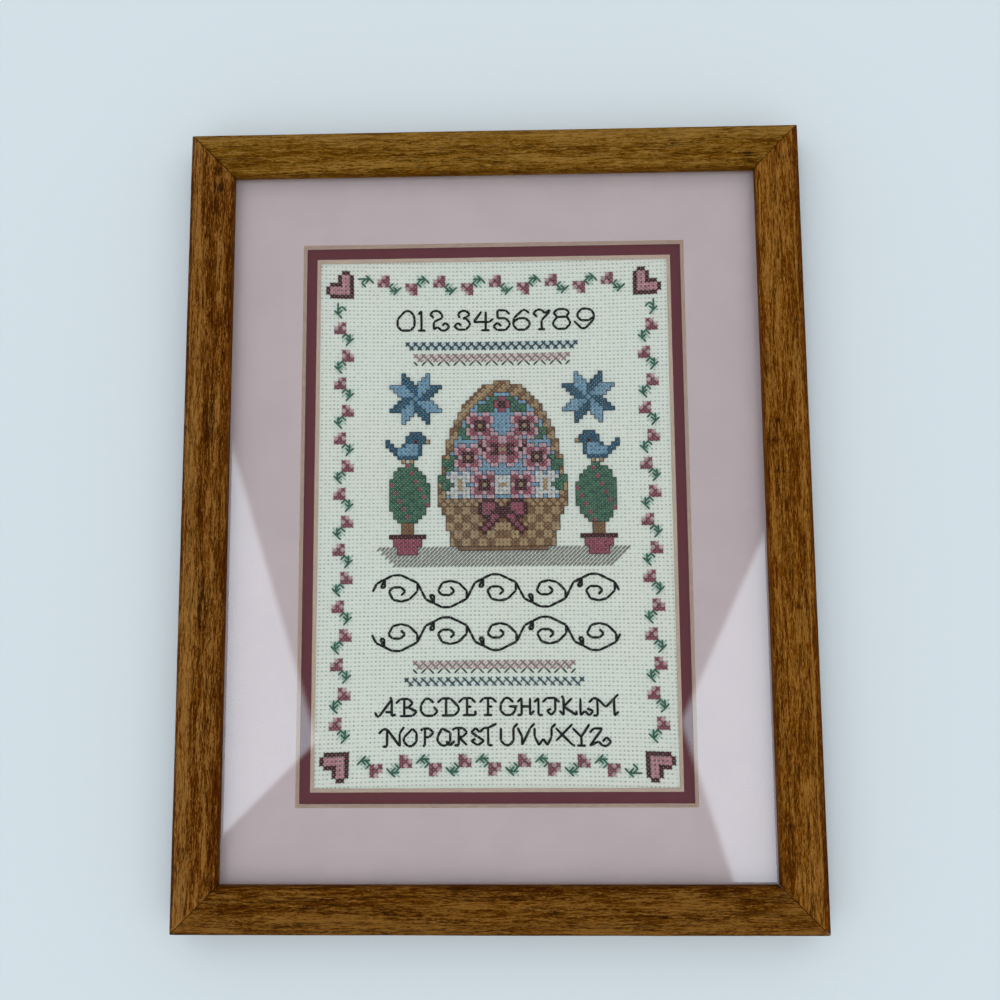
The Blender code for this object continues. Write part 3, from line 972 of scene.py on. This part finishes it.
def oak_finish(name, lengthways, tones, bands, marks, seed):
    """Varnished oak with its grain along X or Y, and painted shade along each mitre's joint.

    Its tones are a dark, a middle and a light brown. Its bands lie lighter or darker along the
    rail, each at a share of the way out from the sight edge; the light bands over the ridge and the
    thin light lines on the outer shoulder are painted highlights, and the dark strip at the right
    rail's outer edge is painted shade. Its marks are knots, cracks and nail holes, each with its
    place and reach in millimetres and its strength.
    """
    finish = Finish(name, {
        "Specular IOR Level": 0.015, "Coat Weight": 0.008, "Coat Roughness": 0.3, "Coat IOR": 1.45,
    })

    def grain(along, across, detail=2.0, roughness=0.5, distortion=0.0, shift=0.0):
        turns = (along, across) if lengthways == "X" else (across, along)
        return finish.noise(*turns, across, detail, roughness, distortion, seed + shift)

    figure = grain(0.012, 0.11, 3, 0.55, 1.0) - 0.5
    streaks = grain(0.05, 0.6, 5, 0.7, 1.2, 3.0) - 0.5
    fine = grain(0.28, 1.9, 3, 0.62, 1.6, 5.0) - 0.5
    pores = grain(0.1, 2.0, 3, 0.55, 2.2, 7.0).ramp(0.53, 0.6)
    pore_bands = grain(0.02, 0.35, 3, 0.6, 0.9, 9.0).ramp(0.42, 0.58)
    flecks = grain(0.15, 1.2, 2, 0.6, 1.4, 11.0).ramp(0.58, 0.72)
    out_x = (abs(finish.x) - sight_x) / rail_width
    out_y = (abs(finish.y) - sight_y) / rail_width
    out = out_y if lengthways == "X" else out_x
    shade = figure * 0.9 + streaks * 2.4 + fine * 2.4 + 0.05
    # The tone darkens towards the sight edge and the outer edge: partly stain pooled at the arrises,
    # partly painted shade where they round over.
    shade = shade - out.ramp(0.12, 0.0) * 0.25 - out.ramp(0.92, 1.0) * 0.35
    # Bands along the rail, among them painted highlights over the ridge and shoulder and painted shade at
    # the outer edge.
    for place, reach, strength in bands:
        shade = shade + abs(out - place).ramp(reach, 0.0) * strength
    dark, middle, light = (colour(*tone) for tone in tones)
    wood = finish.mix(shade.ramp(-0.32, 0.0), dark, middle)
    wood = finish.mix(shade.ramp(-0.02, 0.38), wood, light)
    wood = finish.mix(flecks * 0.5, wood, light)
    open_pores = pores * (pore_bands * 0.8 + 0.2)
    deep = colour(*(channel * 0.55 for channel in tones[0]))
    wood = finish.mix(open_pores * 0.85, wood, deep)
    for x, y, half_x, half_y, strength in marks:
        away_x, away_y = (finish.x - x * MM) / (half_x * MM), (finish.y - y * MM) / (half_y * MM)
        away = away_x * away_x + away_y * away_y + streaks * 5.0 + fine * 3.0
        wood = finish.mix(away.ramp(1.6, 0.0) * strength, wood, deep)
    # Painted shade: a thin dark line along the diagonal of each mitre, as shade in the joint.
    mitre = abs(out_x - out_y).ramp(0.02, 0.004)
    wood = finish.mix(mitre * 0.7, wood, deep)
    worn = finish.noise(0.08, 0.08, 0.08, 3, 0.6, 0.0, seed + 15.0)
    finish.vary(
        Base_Color=wood,
        Roughness=0.46 + worn * 0.14 + open_pores * 0.15,
        Normal=finish.bump(fine * 0.3 + streaks * 0.4 - open_pores, 0.12 * MM),
    )
    return finish.material


def shape_rail(name, half_sight, distance, turn, gaps, finish):
    """One rail, built along X beyond the sight edge, then turned into place about the middle."""
    bends = np.random.default_rng(sum(map(ord, name)))
    outline = np.array(section)
    count = len(outline)
    reach = half_sight + outline[:, 0]
    first = gaps[0] / 2 * math.sqrt(2) - reach
    last = reach - gaps[1] / 2 * math.sqrt(2)
    stations = round(2 * half_sight / LENGTHWAYS_STEP)
    between = np.linspace(first + END_ARRIS, last - END_ARRIS, stations + 1)
    stops = np.concatenate([[first], between, [last]])
    sway = np.cumsum(bends.normal(0, SWAY_A_STEP, len(stops)))
    sway -= np.linspace(sway[0], sway[-1], len(stops))
    outside = (outline[:, 1] > REBATE_ROOF) | (outline[:, 0] > rail_width - NEARLY)
    bends_freely = outside & (outline[:, 0] > STRAIGHT_LIP)
    face = outline[:, 1] > LIP_ARRIS_HEIGHT - LIP_ROUNDING
    corner_out = rail_width - CORNER_ROUNDING
    rows = []
    for index, along in enumerate(stops):
        out = outline[:, 0] + sway[index] * bends_freely
        is_end = index in (0, len(stops) - 1)
        up = outline[:, 1] - is_end * END_ARRIS * face
        past = (np.abs(along) > half_sight + corner_out) & (out > corner_out)
        corner_along = np.sign(along) * (half_sight + corner_out)
        away = np.hypot(along - corner_along, out - corner_out)
        pull = np.where(past, CORNER_ROUNDING / np.maximum(away, CORNER_ROUNDING), 1.0)
        along = corner_along + (along - corner_along) * pull
        out = corner_out + (out - corner_out) * pull
        rows.append(np.stack([along, distance + out, up], axis=1))
    cos, sin = math.cos(math.radians(turn)), math.sin(math.radians(turn))
    points = np.concatenate(rows)
    turned = np.stack([
        points[:, 0] * cos - points[:, 1] * sin, points[:, 0] * sin + points[:, 1] * cos, points[:, 2],
    ], axis=1)
    faces = []
    for row in range(len(rows) - 1):
        for step in range(count):
            after = (step + 1) % count
            base, onward = row * count, (row + 1) * count
            faces.append((base + after, base + step, onward + step, onward + after))
    faces.append(tuple(range(count)))
    faces.append(tuple((len(rows) - 1) * count + step for step in reversed(range(count))))
    mesh = bpy.data.meshes.new(name)
    mesh.from_pydata(turned.tolist(), [], faces)
    mesh.materials.append(finish)
    mesh.shade_smooth()
    mesh.set_sharp_from_angle(angle=math.radians(32))
    piece = new_piece("oak_" + name, mesh)
    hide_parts(name)
    return piece


TIGHT = 0.03 * MM
OPEN = 0.3 * MM
# In the bands, the light ones over the ridge and the thin light lines on the outer shoulder are painted
# highlights, and the right rail's dark strip at its outer edge is painted shade; the other darker bands
# only darken the tone.
OAK = {
    "rail_top": {
        "tones": ((83, 47, 0), (113, 75, 12), (145, 106, 46)),
        "bands": ((1.0, 0.6, 0.25), (0.45, 0.3, -0.1)),
        "marks": ((114.7, 162.0, 2.3, 1.0, 1.0), (112.0, 162.2, 2.0, 0.4, 0.6)),
        "seed": 1.3,
    },
    "rail_left": {
        "tones": ((66, 28, 0), (105, 58, 6), (146, 101, 46)),
        "bands": ((0.75, 0.2, 0.28), (0.89, 0.03, 0.4), (0.4, 0.22, -0.1), (0.12, 0.16, -0.15)),
        "marks": (
            (-124.4, 150.2, 2.6, 2.6, 0.8), (-125.2, 157.5, 2.2, 2.4, 0.6),
            (-125.4, 142.5, 1.2, 5.0, 0.6), (-127.5, -34.0, 1.2, 14.0, 0.6),
            (-125.8, 41.0, 1.8, 17.0, 0.5),
        ),
        "seed": 23.1,
    },
    "rail_bottom": {
        "tones": ((60, 26, 0), (91, 51, 2), (129, 87, 34)),
        "bands": ((0.85, 0.4, 0.15),),
        "marks": (),
        "seed": 41.7,
    },
    "rail_right": {
        "tones": ((76, 34, 0), (109, 61, 2), (148, 101, 42)),
        "bands": ((0.82, 0.03, 0.35), (0.55, 0.2, 0.03), (0.93, 0.12, -0.28)),
        "marks": (
            (123.9, 40.1, 0.9, 0.9, 0.9), (122.4, 31.5, 2.8, 0.9, 0.45), (124.0, 17.6, 3.2, 0.8, 0.45),
            (123.4, -131.2, 2.6, 0.8, 0.45), (124.2, -146.0, 2.4, 0.9, 0.4),
        ),
        "seed": 67.9,
    },
}
for name, half_sight, distance, turn, gaps, lengthways in (
    ("rail_top", sight_x, sight_y, 0, (TIGHT, TIGHT), "X"),
    ("rail_left", sight_y, sight_x, 90, (TIGHT, OPEN), "Y"),
    ("rail_bottom", sight_x, sight_y, 180, (OPEN, TIGHT), "X"),
    ("rail_right", sight_y, sight_x, 270, (TIGHT, TIGHT), "Y"),
):
    finish = oak_finish(name.replace("_", " ") + " oak", lengthways, **OAK[name])
    shape_rail(name, half_sight, distance, turn, gaps, finish)

# Studio: a plain pale floor, the camera at the photograph's angle, and a soft sky as the light. It
# is dim overhead but for two bright fields with straight edges, which the glass mirrors.
FLOOR_REACH = 3.0
floor_mesh = bpy.data.meshes.new("floor")
floor_mesh.from_pydata(
    [(x * FLOOR_REACH, y * FLOOR_REACH, 0) for x, y in ((-1, -1), (1, -1), (1, 1), (-1, 1))],
    [], [(0, 1, 2, 3)],
)
floor_finish = Finish("pale floor", {"Roughness": 0.9, "Base Color": colour(218, 226, 229)})
floor_mesh.materials.append(floor_finish.material)
floor = bpy.data.objects.new("floor", floor_mesh)
bpy.context.scene.collection.objects.link(floor)

world = bpy.data.worlds.new("soft daylight")
world.use_nodes = True
bpy.context.scene.world = world
sky = Nodes(world.node_tree)
across, ahead, up = sky.parts(sky.node("TexCoord", {}, {}, output="Generated"))
up = up.most(0.05)
lean_x, lean_y = across / up, ahead / up
from_middle_x, from_middle_y = lean_x + 0.03, lean_y - 0.09
from_middle = (from_middle_x * from_middle_x + from_middle_y * from_middle_y) ** 0.5
overhead = from_middle.ramp(0.55, 0.42)
EDGE = 0.005
LEAST_LIGHT = 0.13
SIDE_LIGHT = 0.91
WINDOW_LIGHT = 2.9


def left_of(start, slope):
    """Where the sky leans to the left of a line, with a slightly soft edge."""
    return (lean_x - lean_y * slope).ramp(start + EDGE, start - EDGE)


left_window = left_of(-0.246, -0.309) * left_of(-0.082, 1.018)
right_window = (1 - left_of(0.201, 0.476)) * (1 - left_of(0.118, -0.305))
windows = (left_window + right_window) * overhead
tint = sky.node("Mix", {"data_type": "RGBA"}, {
    0: windows, 6: colour(246, 249, 252), 7: colour(228, 244, 255),
}, output=2)
daylight = (1 - overhead) * SIDE_LIGHT + windows * WINDOW_LIGHT + LEAST_LIGHT
sky.feed(world.node_tree.nodes["Background"], {"Color": tint, "Strength": daylight})

CAMERA_PLACE = (0.01345, -0.0427, 0.4484)
CAMERA_TURN = (6.478, 1.465, -0.545)
camera_data = bpy.data.cameras.new("camera")
camera_data.sensor_width = 36.0
camera_data.lens = 36.0
camera_data.clip_start = 0.01
camera = bpy.data.objects.new("camera", camera_data)
camera.location = CAMERA_PLACE
camera.rotation_mode = "ZYX"
camera.rotation_euler = tuple(math.radians(angle) for angle in CAMERA_TURN)
bpy.context.scene.collection.objects.link(camera)
bpy.context.scene.camera = camera
bpy.context.scene.view_settings.view_transform = "Standard"
